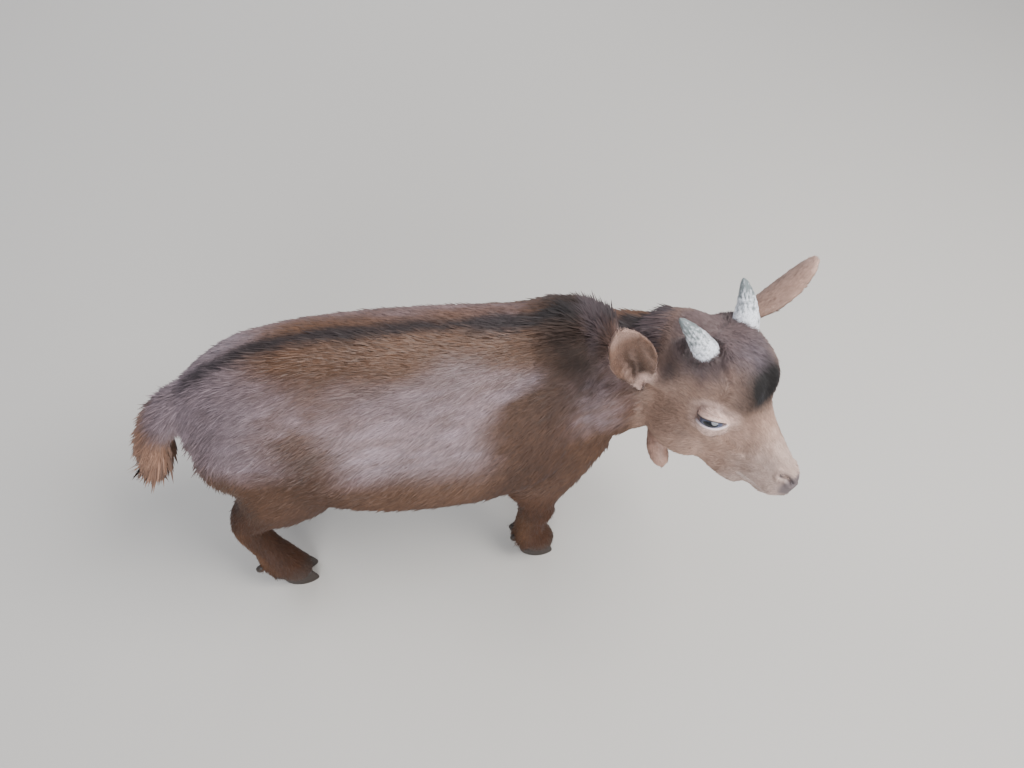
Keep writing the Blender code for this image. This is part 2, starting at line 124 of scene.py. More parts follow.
def solidCopy(name):
    # the solids are loose triangles, so a copy is merged first
    bm = bmesh.new()
    bm.from_mesh(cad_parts[name].data)
    bmesh.ops.remove_doubles(bm, verts=bm.verts, dist=1e-6)
    return bm


def addPiece(name, mesh, material=None):
    piece = bpy.data.objects.new(name, mesh)
    bpy.context.scene.collection.objects.link(piece)
    if material:
        mesh.materials.clear()
        mesh.materials.append(material)
    return piece


def bakeModifiers(piece):
    graph = bpy.context.evaluated_depsgraph_get()
    mesh = bpy.data.meshes.new_from_object(piece.evaluated_get(graph))
    piece.modifiers.clear()
    piece.data = mesh
    return mesh


def join(node, links):
    # each input takes what the named output of another node gives
    for key, (source, output) in links.items():
        node.id_data.links.new(source.outputs[output], node.inputs[key])


def addNode(tree, kind, settings=None, links=None):
    # settings go to the node or, where it has no such setting, to the input of that name
    node = tree.nodes.new("ShaderNode" + kind)
    for key, value in (settings or {}).items():
        if isinstance(key, int) or not hasattr(node, key):
            node.inputs[key].default_value = value
        else:
            setattr(node, key, value)
    join(node, links or {})
    return node


def newMaterial(name, settings):
    material = bpy.data.materials.new(name)
    material.use_nodes = True
    tree = material.node_tree
    shader = tree.nodes["Principled BSDF"]
    for key, value in settings.items():
        shader.inputs[key].default_value = value
    place = addNode(tree, "TexCoord")
    return material, shader, (place, "Object"), partial(addNode, tree)


# the head has its own frame: x along the muzzle, z out of the crown, in units of about a millimetre
headPose = {"place": (0.1757968, 0.0030147, 0.310), "unit": 0.00107,
            "yaw": -58.2, "pitch": 11.0, "roll": -14.5}
headTurn = (Matrix.Rotation(math.radians(headPose["yaw"]), 3, "Z")
            @ Matrix.Rotation(math.radians(headPose["pitch"]), 3, "Y")
            @ Matrix.Rotation(math.radians(headPose["roll"]), 3, "X"))
headAxes = np.array(headTurn)
headPlace = np.array(headPose["place"])


def toHead(points):
    return (points - headPlace) @ headAxes / headPose["unit"]


def fromHead(points):
    return np.asarray(points, float) * headPose["unit"] @ headAxes.T + headPlace


def headWay(vector):
    return headAxes @ np.asarray(vector, float)


def reachFrom(local, place):
    return lengths(local - np.array(place))


# eyeball, and the lids' opening: half its length, its height, how far each lid parts, their thickness
eyeShape = {"centre": (50.5, 25.9, -4.6), "radius": 12.2, "corners": (0.85, -0.36, 0.50), "half": 12.0,
            "rise": 1.0, "upper": 2.6, "lower": 2.1, "lid": 1.1}
earShape = {"length": 90, "half": 22, "waves": 15, "ridge": 0.35, "hollow": 1.3}
earWays = {"right": (-0.28, -0.59, 0.75), "left": (0.08, 0.72, 0.69)}
earOpens = {"right": (0.92, -0.40, 0.03), "left": (0.81, 0.36, -0.45)}
earRoots = {"right": (-1, -38, -21), "left": (2, 34, 2)}
earMiddles = {"right": (-10, -58, 5), "left": (5, 62, 30)}
hornEnds = {"right": ((10.5, -24, 28), (-18, -41, 47.5)), "left": ((11, 28, 31), (-17, 44, 50))}
hornHigh = 16  # reach of the skin's own hair and scurf up a horn
wattleFall = {"right": (0.86, -0.12, -0.50), "left": (0.86, 0.12, -0.50)}


def earPlace(points, normals, word):
    # share of the ear's length, place across it, how much a point faces into the ear, and that way
    along = unit(np.array(earWays[word]))
    opening = np.array(earOpens[word])
    opening = unit(opening - along * (opening @ along))
    offset = toHead(points) - np.array(earRoots[word])
    u = offset @ along / earShape["length"]
    v = offset @ np.cross(opening, along) / earShape["half"]
    return u, v, normals @ (headAxes @ opening), opening


def earRidges(u, v, waver=0.0):
    return np.cos(v * earShape["waves"] + 2 * u + waver)


def onRight(points):
    local = toHead(points)
    return reachFrom(local, earMiddles["right"]) < reachFrom(local, earMiddles["left"])


def eyeCentre(side):
    return np.array(eyeShape["centre"]) * (1, side, 1)


def eyeAxes(side):
    along = Vector(eyeShape["corners"]).normalized()
    upward = along.cross(Vector((0, 1, 0))).normalized()
    outward = upward.cross(along)
    mirror = np.array([1, side, 1])
    return [np.array(axis) * mirror for axis in (along, upward, outward)]


def hornOffsets(local):
    # the way in to each horn's axis, and the place along it
    for root, tip in hornEnds.values():
        axis = unit(np.array(tip) - np.array(root))
        offset = local - np.array(root)
        place = offset @ axis
        yield place[:, None] * axis - offset, place


# reaches are in the head's units, from the middle of the head and of an eye
skinLook = {"voxel": 0.0016, "swell": 0.0003, "keep": 0.35, "rounds": 3, "blend": 14, "headReach": 125,
            "eyeReaches": (24, 15.5), "muzzle": (99, 30, -70)}
fleshNodes = [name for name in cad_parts
              if name.split("_")[0] in ("trunk", "neck", "head", "tail", "ear", "leg", "wattle")]
hardNodes = [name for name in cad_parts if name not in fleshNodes]
regionNames = ["trunk", "neck", "head", "tail", "ear", "legUpper", "legLower", "wattle"]
hardRegions = {"eye": "head", "horn": "head", "claw": "legLower", "dewclaw": "legLower"}


def regionOf(name):
    kind = name.split("_")[0]
    if kind == "leg":
        return "legUpper" if name.endswith("upper") else "legLower"
    return hardRegions.get(kind, kind)


def shareOf(weights, *names):
    return sum(weights[:, regionNames.index(name)] for name in names)


def joinedFlesh():
    # copies of the solids, swollen a touch so that their clearances close
    bm = bmesh.new()
    labels = []
    for name in fleshNodes + hardNodes:
        part = solidCopy(name)
        part.normal_update()
        for vert in part.verts:
            vert.co += vert.normal * skinLook["swell"]
        bm.from_mesh(meshFrom(part, name))
        labels += [name] * (len(bm.faces) - len(labels))
    return bm, labels


def keepLargest(mesh):
    bm = bmesh.new()
    bm.from_mesh(mesh)
    seen = set()
    groups = []
    for start in bm.verts:
        if start in seen:
            continue
        group = [start]
        seen.add(start)
        for vert in group:
            for edge in vert.link_edges:
                other = edge.other_vert(vert)
                if other not in seen:
                    seen.add(other)
                    group.append(other)
        groups.append(group)
    groups.sort(key=len)
    bmesh.ops.delete(bm, geom=[vert for group in groups[:-1] for vert in group], context="VERTS")
    bm.to_mesh(mesh)
    bm.free()


def thinBody(skin):
    # the body needs fewer faces than the head
    body = reachFrom(toHead(readPoints(skin.data)), (40, 0, -5)) > skinLook["headReach"]
    group = skin.vertex_groups.new(name="body")
    group.add(np.nonzero(body)[0].tolist(), 1.0, "REPLACE")
    thin = skin.modifiers.new("Thin", "DECIMATE")
    thin.ratio = skinLook["keep"]
    thin.vertex_group = "body"
    mesh = bakeModifiers(skin)
    skin.vertex_groups.clear()
    return mesh


def refineFace(mesh):
    # finer faces round the eyes and on the muzzle
    bm = bmesh.new()
    bm.from_mesh(mesh)
    muzzleFrom, muzzleHalf, muzzleLow = skinLook["muzzle"]
    for turn, reach in enumerate(skinLook["eyeReaches"]):
        bm.verts.ensure_lookup_table()
        local = toHead(np.array([vert.co for vert in bm.verts]))
        chosen = np.zeros(len(local), bool)
        for side in (1, -1):
            chosen |= reachFrom(local, eyeCentre(side)) < reach
        if turn == 0:
            x, y, z = local.T
            chosen |= (x > muzzleFrom) & (np.abs(y) < muzzleHalf) & (z > muzzleLow)
        edges = [edge for edge in bm.edges if all(chosen[vert.index] for vert in edge.verts)]
        bmesh.ops.subdivide_edges(bm, edges=edges, cuts=1, use_grid_fill=True)
        bm.verts.index_update()
    bmesh.ops.triangulate(bm, faces=bm.faces)
    bm.to_mesh(mesh)
    bm.free()


def makeSkin():
    bm, labels = joinedFlesh()
    tree = BVHTree.FromBMesh(bm)
    skin = addPiece("skin", meshFrom(bm, "skin"))
    remesh = skin.modifiers.new("Join", "REMESH")
    remesh.mode = "VOXEL"
    remesh.voxel_size = skinLook["voxel"]
    keepLargest(bakeModifiers(skin))
    mesh = thinBody(skin)
    refineFace(mesh)
    print("skin faces", len(mesh.polygons))

    # which part of the goat each point belongs to, softened where parts meet
    points = readPoints(mesh)
    edges = readList(mesh.edges, "vertices", np.int64, 2)
    weights = np.zeros((len(points), len(regionNames)))
    hard = np.zeros(len(points))
    for k, point in enumerate(points):
        name = labels[tree.find_nearest(Vector(point))[2]]
        hard[k] = name in hardNodes and not name.startswith("eye")
        weights[k, regionNames.index(regionOf(name))] = 1.0
    weights = spread(weights, edges, skinLook["blend"])
    weights /= weights.sum(axis=1, keepdims=True)
    writePoints(mesh, spread(points, edges, skinLook["rounds"]))
    return skin, weights, edges, spread(hard, edges, 2)


# how far the skin lies under the tips of the hair, in metres
coatDepth = {"trunk": 0.0024, "neck": 0.0026, "head": 0.0013, "tail": 0.0046, "ear": 0.0005,
             "legUpper": 0.0026, "legLower": 0.0018, "wattle": 0.0004}
hornDepth = 0.0012  # more where the skin runs up on horns and claws
muzzleThinner = 0.55

# lines on the left half of the face, which the right half shares
faceForms = {
    "mouth": [(127, 0, -27), (122, 7.5, -27.5), (114, 10.5, -29), (104, 13, -31.5), (95, 16, -33)],
    "nostril": [(122.5, 4, -12.5), (120, 6.3, -9.5), (116, 7.6, -8.5), (112.5, 8.8, -10.5)],
    "philtrum": [(125.5, 0, -15), (127.5, 0, -26)],
    "tearFold": [(66, 25, 2), (76, 20, -8), (86, 17, -14)],
    "stalk": [(2, 43, -26), (6, 36, -42), (13, 24, -58)],
}
# depth and width of each cut, then height, distance and width of the lip beside it
faceCuts = {
    "mouth": (1.9, 0.9, 0.5, 2.6, 1.4),
    "nostril": (3.0, 1.3, 0.9, 3.6, 1.5),
    "philtrum": (0.9, 0.9, 0.0, 1.0, 1.0),
    "tearFold": (1.2, 3.5, 0.0, 1.0, 1.0),
    "stalk": (-1.3, 1.6, -0.9, 3.4, 1.5),
}
stalkFade = (-30, -46)  # the cord from the wattle rises out of the neck between these heights
lidLook = {"angles": (86, 60), "reaches": (27, 20), "rim": 0.35, "folds": (0.7, 0.55), "sink": 3.0,
           "ringAngles": (57, 68), "ringReaches": (31, 23), "rounds": 50}


def polylineDistance(points, line):
    best = np.full(len(points), 1e9)
    for start, end in zip(line, line[1:]):
        start = np.array(start, float)
        way = np.array(end, float) - start
        t = np.clip((points - start) @ way / (way @ way), 0, 1)
        best = np.minimum(best, lengths(points - start - t[:, None] * way))
    return best


def formDistance(local, name):
    folded = local.copy()
    folded[:, 1] = np.abs(folded[:, 1])
    return polylineDistance(folded, faceForms[name])


def sculptLids(shaped, edges):
    # the lids leave an almond opening and sink behind the eyeball in it
    lidField = np.full(len(shaped), -50.0)
    ring = np.zeros(len(shaped))
    rise, half = eyeShape["rise"], eyeShape["half"]
    for side in (1, -1):
        along, upward, outward = eyeAxes(side)
        offset = shaped - eyeCentre(side)
        reach = lengths(offset)
        way = offset / np.maximum(reach, 1e-6)[:, None]
        facing = way @ outward
        across = offset @ along
        over = offset @ upward
        angle = np.degrees(np.arccos(np.clip(facing, -1, 1)))
        span = np.clip(1 - (across / half) ** 2, 0, 1)
        upperEdge = rise + eyeShape["upper"] * span ** 0.8
        lowerEdge = rise - eyeShape["lower"] * span ** 0.9
        gap = np.minimum(upperEdge - over, over - lowerEdge)
        gap = np.where((np.abs(across) < half) & (facing > 0), gap, -np.abs(over - rise) - 1)
        rim = hump(gap, -0.9, 0.8) * lidLook["rim"]
        fold = hump(over - upperEdge, 3.6, 0.7) * lidLook["folds"][0]
        fold += hump(lowerEdge - over, 3.8, 0.8) * lidLook["folds"][1]
        fold *= ease(1.05, 0.6, np.abs(across) / half)
        radius = eyeShape["radius"] + eyeShape["lid"] + rim - fold
        radius -= lidLook["sink"] * ease(-0.15, 0.75, gap)
        target = eyeCentre(side) + way * radius[:, None]
        hold = ease(*lidLook["angles"], angle) * ease(*lidLook["reaches"], reach)
        shaped = shaped + (target - shaped) * hold[:, None]
        near = (reach < lidLook["reaches"][0]) & (facing > 0)
        lidField = np.where(near, np.maximum(lidField, gap), lidField)
        edge = ease(*lidLook["ringAngles"], angle) * ease(*lidLook["ringReaches"], reach)
        ring = np.maximum(ring, edge)
    # they run out softly into brow and cheek
    shaped = shaped + (spread(shaped, edges, lidLook["rounds"]) - shaped) * ring[:, None]
    return shaped, lidField


def sculptFace(mesh, edges):
    normals = readNormals(mesh) @ headAxes
    local = toHead(readPoints(mesh))
    onHead = reachFrom(local, (45, 0, -15)) < 120
    sink = np.zeros(len(local))
    for name, (deep, wide, lip, away, lipWide) in faceCuts.items():
        reach = formDistance(local, name)
        cut = deep * hump(reach, 0, wide) - lip * hump(reach, away, lipWide)
        sink += cut * ease(*stalkFade, local[:, 2]) if name == "stalk" else cut
    shaped, lidField = sculptLids(local - normals * (sink * onHead)[:, None], edges)
    writePoints(mesh, fromHead(shaped))
    return lidField


def sculptEars(mesh, weights):
    # a deeper hollow with a thick rim and long soft ridges inside the ear
    points = readPoints(mesh)
    normals = readNormals(mesh)
    right = onRight(points)
    ear = ease(0.4, 0.8, shareOf(weights, "ear"))
    for word, here in (("right", right), ("left", ~right)):
        u, v, facing, opening = earPlace(points, normals, word)
        inner = ear * here * ease(0.0, 0.4, facing)
        across = ease(0.85, 0.35, np.abs(v))
        ridges = earRidges(u, v) * across * ease(0.1, 0.3, u) * ease(0.9, 0.6, u)
        deep = across * ease(-0.05, 0.15, u) * ease(1.0, 0.5, u)
        shift = earShape["ridge"] * ridges - earShape["hollow"] * deep
        points = points + (headAxes @ opening) * (shift * inner * headPose["unit"])[:, None]
    writePoints(mesh, points)


print("skin")
skin, regionWeights, skinEdges, hardShare = makeSkin()
skinMesh = skin.data
depth = regionWeights @ np.array([coatDepth[name] for name in regionNames])
muzzle = ease(70, 112, toHead(readPoints(skinMesh))[:, 0]) * shareOf(regionWeights, "head")
depth = depth * (1 - muzzleThinner * muzzle) + hornDepth * ease(0.3, 0.9, hardShare)
writePoints(skinMesh, readPoints(skinMesh) - readNormals(skinMesh) * depth[:, None])
lidGap = sculptFace(skinMesh, skinEdges)
sculptEars(skinMesh, regionWeights)
skinMesh.shade_smooth()

# unwrap of the skin's own shape, which each tuft's patch refers to
print("unwrap")
bpy.context.view_layer.objects.active = skin
skin.select_set(True)
bpy.ops.object.mode_set(mode="EDIT")
bpy.ops.mesh.select_all(action="SELECT")
bpy.ops.uv.smart_project(angle_limit=math.radians(66), island_margin=0.002)
bpy.ops.object.mode_set(mode="OBJECT")
skin.select_set(False)
skinMesh.uv_layers[0].name = "OFBake"

# colours shared by skin and coat
markings = {
    "body": "#5a3f2e", "sheenPaint": "#94838a", "back": "#211b1e", "belly": "#4e3629", "mane": "#191617",
    "rump": "#7b6d72", "shoulder": "#3a2417", "leg": "#452918", "cannon": "#6c4930", "foot": "#44352d",
    "tailTop": "#75666a", "tailFringe": "#95705a", "face": "#9d7f6f", "muzzle": "#b39a8e",
    "brow": "#0f0a09", "poll": "#4e4246", "forelock": "#6a5f66", "temple": "#382d2e", "cheek": "#8f7262",
    "eyeRing": "#d2b2a5", "ear": "#836555", "earFront": "#745b4e", "earRim": "#c0a092",
    "earHollowShade": "#36271f", "wattle": "#b08c7c", "fold": "#9d8a86", "nose": "#5c5154",
    "lidRim": "#1c1618", "wetRimGlint": "#d6c4c6", "mouth": "#cfb9ae", "scurf": "#8f8785",
}
markings = {name: toLinear(value) for name, value in markings.items()}

# where each marking on the body, and each edge of the painted sheen, begins and is full, in metres along
# the axis that its line names
zones = {
    "belly": (0.215, 0.155), "sheenTop": (0.319, 0.303), "sheenLow": (0.228, 0.262),
    "sheenFront": (0.014, -0.014), "sheenFarSide": (0.030, 0.055), "thighTop": (0.304, 0.286),
    "thighDark": (0.296, 0.276), "neckSheenTop": (0.316, 0.298), "neckSheenLow": (0.236, 0.262),
    "rumpSheenFront": (-0.145, -0.180), "rumpSheenLow": (0.245, 0.280), "stripe": (0.0145, 0.002),
    "stripeLow": (0.27, 0.30), "maneLow": (0.250, 0.312), "shoulderTop": (0.308, 0.280),
    "shoulderLow": (0.15, 0.20), "nape": (0.300, 0.322), "cannon": (0.03, 0.06), "foot": (0.046, 0.024),
    "fringeEnd": (-0.236, -0.256), "fringeLow": (0.264, 0.242), "fringeTop": (0.290, 0.266),
}
roughness = {"hair": 0.48, "sheenShare": -0.10, "face": 0.10, "dull": 0.80, "wet": 0.15}
middleY = 0.0265  # the trunk's middle line


def mix(base, colour, share):
    # lays a colour, or one of the markings by name, over the base
    if isinstance(colour, str):
        colour = markings[colour]
    return base + (colour - base) * np.clip(share, 0, 1)[:, None]


def zone(name, value):
    return ease(*zones[name], value)


def plain(name, points):
    return np.tile(markings[name], (len(points), 1))


def softNoise(points, size, seed):
    # smooth value noise, about -1 to 1, from a few turned waves
    turn = np.random.default_rng(seed)
    total = np.zeros(len(points))
    for _ in range(7):
        way = unit(turn.normal(size=3)) * 2 * math.pi / (size * turn.uniform(0.7, 1.6))
        total += np.sin(points @ way + turn.uniform(0, 6.28))
    return total / 3.2


def bodyColour(points, normals, region, wave, fine):
    x, y, z = points.T
    trunk = region["trunk"]
    upper = trunk + region["neck"]
    low = zone("belly", z + 0.012 * wave)
    colour = mix(plain("body", points), "belly", 0.75 * low * trunk)
    # painted sheen: flank and neck hair painted lighter and silvery where the coat catches the light,
    # less on the far side of the back
    high = zone("sheenTop", z + 0.004 * wave)
    high *= zone("sheenLow", z + 0.006 * wave)
    ahead = 0.012 + 0.050 * ease(0.288, 0.306, z) + 0.004 * wave + 0.003 * fine
    high *= zone("sheenFront", x - ahead) * (1 - 0.45 * zone("sheenFarSide", y))
    high *= 1 - 0.5 * hump(x, -0.115, 0.016) * ease(0.29, 0.31, z)
    thigh = hump(x + 0.008 * wave, -0.131, 0.028) * zone("thighTop", z + 0.003 * fine)
    neckSheen = zone("neckSheenTop", z) * zone("neckSheenLow", z)
    neckSheen *= hump(x, 0.104, 0.026)
    sheenShare = high * (1 - 0.85 * thigh) * trunk + 0.7 * neckSheen * upper
    strands = softNoise(points * (0.35, 1, 1), 0.009, 21)
    colour = mix(colour, "sheenPaint", 0.55 * sheenShare * (1 + 0.25 * fine + 0.25 * strands))
    # the rump's bluish-grey hair, laid on lighter as a painted sheen
    rump = zone("rumpSheenFront", x + 0.01 * wave)
    rump *= zone("rumpSheenLow", z + 0.006 * wave)
    colour = mix(colour, "rump", 0.7 * rump)
    # dark line down the spine, which bends with it, and the mane over the withers
    spine = middleY + 0.004 + 0.008 * ease(-0.20, -0.10, x) - 0.008 * ease(0.03, 0.09, x)
    stripe = zone("stripe", np.abs(y - spine) + 0.0022 * fine + 0.002 * wave)
    stripe *= zone("stripeLow", z)
    colour = mix(colour, "back", 0.92 * stripe * upper)
    mane = hump(x + 0.006 * wave, 0.088, 0.026) * zone("maneLow", z + 0.010 * wave) * upper
    colour = mix(colour, "mane", 0.8 * mane)
    front = hump(x + 0.004 * fine, 0.050, 0.038, 4) * zone("shoulderTop", z + 0.006 * wave)
    strands = softNoise(points * (1, 1, 0.4), 0.007, 23)
    front *= zone("shoulderLow", z) * (0.85 + 0.15 * strands)
    colour = mix(colour, "shoulder", 0.85 * front * trunk)
    colour = mix(colour, markings["belly"] * 0.85, 0.6 * thigh * zone("thighDark", z) * trunk)
    nape = region["neck"] * zone("nape", z + 0.006 * wave)
    colour = mix(colour, markings["poll"] * 0.7, 0.85 * nape)
    lower = region["legLower"]
    rear = ease(0.1, -0.7, normals[:, 0])
    colour = mix(colour, "leg", region["legUpper"] + lower)
    colour = mix(colour, "cannon", 0.7 * rear * lower * zone("cannon", z))
    colour = mix(colour, "foot", 0.9 * lower * zone("foot", z + 0.003 * fine))
    dull = np.maximum.reduce([mane, 0.6 * stripe, 0.4 * front * trunk])
    return colour, sheenShare, dull


def tailColour(points, wave, fine):
    x, _, z = points.T
    fringe = np.maximum(zone("fringeEnd", x + 0.005 * fine),
                        zone("fringeLow", z + 0.005 * fine))
    fringe *= zone("fringeTop", z + 0.004 * wave)
    return mix(plain("tailTop", points), "tailFringe", 0.9 * fringe)


def eyeColour(face, local, lidField, fine):
    # pale ring, painted shade in the crease over the lid, dark upper rim, and a wet, pale lower one
    # lightened as a painted glint
    rise = eyeShape["rise"]
    for side in (1, -1):
        offset = local - eyeCentre(side)
        along, upward, outward = eyeAxes(side)
        across = offset @ along
        over = offset @ upward - rise
        toward = ease(-2, 5, offset @ outward)
        ring = (across / 18) ** 2 + ((over - 0.5) / 13) ** 2
        face = mix(face, "eyeRing", 0.9 * ease(1.5, 0.4, ring + 0.15 * fine) * toward)
        # painted shade: the fold over the lid darkened with the temple colour
        crease = hump(over + 0.02 * across ** 2, 10.5, 1.3) * ease(15, 8, np.abs(across))
        face = mix(face, "temple", 0.35 * crease * toward)
    levels = [(local - eyeCentre(side)) @ eyeAxes(side)[1] for side in (1, -1)]
    above = np.where(local[:, 1] > 0, *levels) > rise
    wet = ease(-0.8, -0.2, lidField) * ~above
    face = mix(face, "lidRim", ease(-1.3, -0.3, lidField) * above)
    # the wet lower rim: pale skin, lightened further as a painted glint
    face = mix(face, "wetRimGlint", wet)
    return mix(face, "lidRim", ease(0.2, 0.6, lidField)), wet


def faceColour(points, lidField, fine):
    local = toHead(points)
    x, y, z = local.T
    side = np.abs(y)
    face = mix(plain("face", points), "cheek", ease(50, 20, x) * ease(-5, -30, z))
    face = mix(face, "muzzle", ease(72, 104, x + 4 * fine))
    # crown, forelock with a painted sheen on it, and the black brow between the eyes
    crown = ease(46, 24, x + 2.5 * fine) * ease(2, 22, z + 2 * fine)
    face = mix(face, "poll", 0.85 * crown)
    lock = hump(x, 40, 18) * hump(y, 0, 21) * ease(12, 26, z)
    face = mix(face, "poll", lock)
    # painted sheen: the forelock laid on lighter and lilac-grey where it catches the light
    foreheadSheen = hump(x, 36, 12) * hump(y, 0, 17) * ease(16, 28, z)
    strands = softNoise(points * (1, 1, 0.4), 0.006, 31)
    face = mix(face, "forelock", foreheadSheen * (0.6 + 0.25 * strands))
    brow = hump(x, 54, 15) * hump(side, 4, 23) * ease(2, 18, z)
    face = mix(face, "brow", 1.3 * brow)
    temple = hump(x, 6, 13) * hump(z, 3, 15) * ease(20, 31, side)
    face = mix(face, "temple", temple)
    earFront = hump(x, -8, 14) * hump(z, -2, 16) * ease(18, 30, side)
    face = mix(face, "earFront", 0.7 * earFront)
    for inward, place in hornOffsets(local):
        flaky = ease(13.5, 10.5, lengths(inward) + 2.6 * fine)
        face = mix(face, "scurf", 0.22 * flaky * (np.abs(place) < hornHigh))
    face, wet = eyeColour(face, local, lidField, fine)
    nosePad = ease(113.0, 119.5, x - 0.35 * np.abs(z + 14) + fine) * ease(-27.0, -21.5, z)
    face = mix(face, "nose", 0.9 * nosePad)
    # painted shade: the nostrils darkened in their hollows
    face = mix(face, markings["nose"] * 0.6, ease(2.2, 0.8, formDistance(local, "nostril")))
    face = mix(face, "mouth", 0.8 * ease(3.0, 1.2, formDistance(local, "mouth")))
    cord = ease(3.2, 1.4, formDistance(local, "stalk")) * ease(*stalkFade, z)
    face = mix(face, "fold", 0.3 * cord)
    return face, np.maximum.reduce([brow, 0.8 * lock, 0.8 * temple]), wet


def earColour(points, normals, fine):
    right = onRight(points)
    ear = plain("ear", points)
    for word, here in (("right", right), ("left", ~right)):
        u, v, facing, _ = earPlace(points, normals, word)
        inner = here * ease(0.0, 0.3, facing)
        # painted shade: the hollow inside each ear darkened toward its middle and base
        ear = mix(ear, "earHollowShade", 0.85 * inner * hump(v, 0.05, 0.40) * ease(0.85, 0.3, u))
        pale = (0.5 + 0.5 * earRidges(u, v, 1.6 * fine)) ** 3 * ease(0.75, 0.4, np.abs(v))
        pale *= ease(0.08, 0.2, u) * ease(0.8, 0.5, u)
        ear = mix(ear, "earRim", 0.4 * inner * pale)
        rim = np.maximum(ease(0.62, 0.9, np.abs(v)), ease(0.8, 0.95, u))
        ear = mix(ear, "earRim", 0.7 * here * rim)
        ear = mix(ear, "eyeRing", 0.9 * inner * ease(0.26, 0.12, u))
        ear = mix(ear, "earRim", 0.5 * here * ease(0.0, -0.5, facing))
    return ear


def coatColour(points, normals, weights, lidField):
    region = {name: weights[:, k] for k, name in enumerate(regionNames)}
    wave = softNoise(points, 0.05, 3)
    fine = softNoise(points, 0.012, 5)
    colour, sheenShare, dull = bodyColour(points, normals, region, wave, fine)
    face, faceDull, wet = faceColour(points, lidField, fine)
    colour = mix(colour, tailColour(points, wave, fine), region["tail"])
    colour = mix(colour, face, region["head"])
    colour = mix(colour, earColour(points, normals, fine), region["ear"])
    colour = mix(colour, "wattle", region["wattle"])
    colour = colour * (1 + 0.10 * wave + 0.08 * fine)[:, None]

    # roughness goes with it: dark raised hair is dull, combed flank hair is glossy
    rough = roughness["hair"] + roughness["sheenShare"] * sheenShare + roughness["face"] * region["head"]
    dull = np.maximum(dull, faceDull * region["head"])
    rough = rough + (roughness["dull"] - rough) * np.clip(dull, 0, 1)
    rough = rough + (roughness["wet"] - rough) * wet * region["head"]
    return np.clip(np.column_stack([colour, rough]), 0, 1)


# hair that leans in and stands up against a horn's base: its share, distance, softness and lift
cuffLook = {"share": 0.85, "away": 11.5, "soft": 2.6, "lift": 34}


def hornCuffs(local):
    for inward, place in hornOffsets(local):
        near = hump(lengths(inward), cuffLook["away"], cuffLook["soft"])
        yield unit(inward), cuffLook["share"] * near * (np.abs(place) < hornHigh)


def coatLie(points, normals, weights, edges):
    # which way the hair is combed on each part
    x = points[:, 0]
    flank = np.abs(normals[:, 1])
    rump = ease(-0.16, -0.24, x)
    chest = ease(0.2, 0.8, normals[:, 0]) * ease(0.02, 0.08, x)
    zero = np.zeros(len(points))
    local = toHead(points)
    hx, hy, hz = local.T
    forward = ease(0, 16, hx) * ease(-24, -2, hz)
    forward *= ease(34, 20, np.abs(hy) - 0.2 * (hx - 30))
    down = 0.8 * ease(-4, -30, hz)
    face = np.stack([-1 + 2 * forward, 0.15 * np.sign(hy) * forward, 0.1 - down], 1)
    for way, share in hornCuffs(local):
        face = unit(face) + (way - unit(face)) * share[:, None]
    back = 1 - 0.75 * rump - 0.7 * chest
    ways = {
        "trunk": np.stack([-back, zero, -0.15 - 0.45 * flank - rump - chest], 1),
        "neck": np.array([-0.80, 0.30, -0.45]),
        "head": face @ headAxes.T,
        "tail": np.array([-0.5, -0.1, -0.85]),
        "legUpper": np.array([-0.35, 0, -1]),
        "legLower": np.array([-0.12, 0, -1]),
    }
    right = onRight(points)[:, None]
    for name, table in (("ear", earWays), ("wattle", wattleFall)):
        ways[name] = np.where(right, headWay(table["right"]), headWay(table["left"]))
    lie = sum(unit(ways[name]) * weights[:, [k]] for k, name in enumerate(regionNames))
    return laidFlat(spread(laidFlat(lie, normals), edges, 10), normals)


# per part: length and width of a tuft, its lift off the skin in degrees, tufts per square centimetre
tuftLook = {
    "trunk": (0.0100, 0.00060, 11, 92), "neck": (0.0110, 0.00062, 12, 96),
    "head": (0.0046, 0.00040, 12, 200), "tail": (0.0180, 0.00062, 13, 150),
    "ear": (0.0042, 0.00036, 10, 230), "wattle": (0.0030, 0.00035, 10, 240),
    "legUpper": (0.0085, 0.00058, 12, 115), "legLower": (0.0062, 0.00048, 14, 150),
}
tuftMost = 365000
tuftsPerPiece = 49000  # tufts in each coat piece; few enough for a piece to keep all its faces
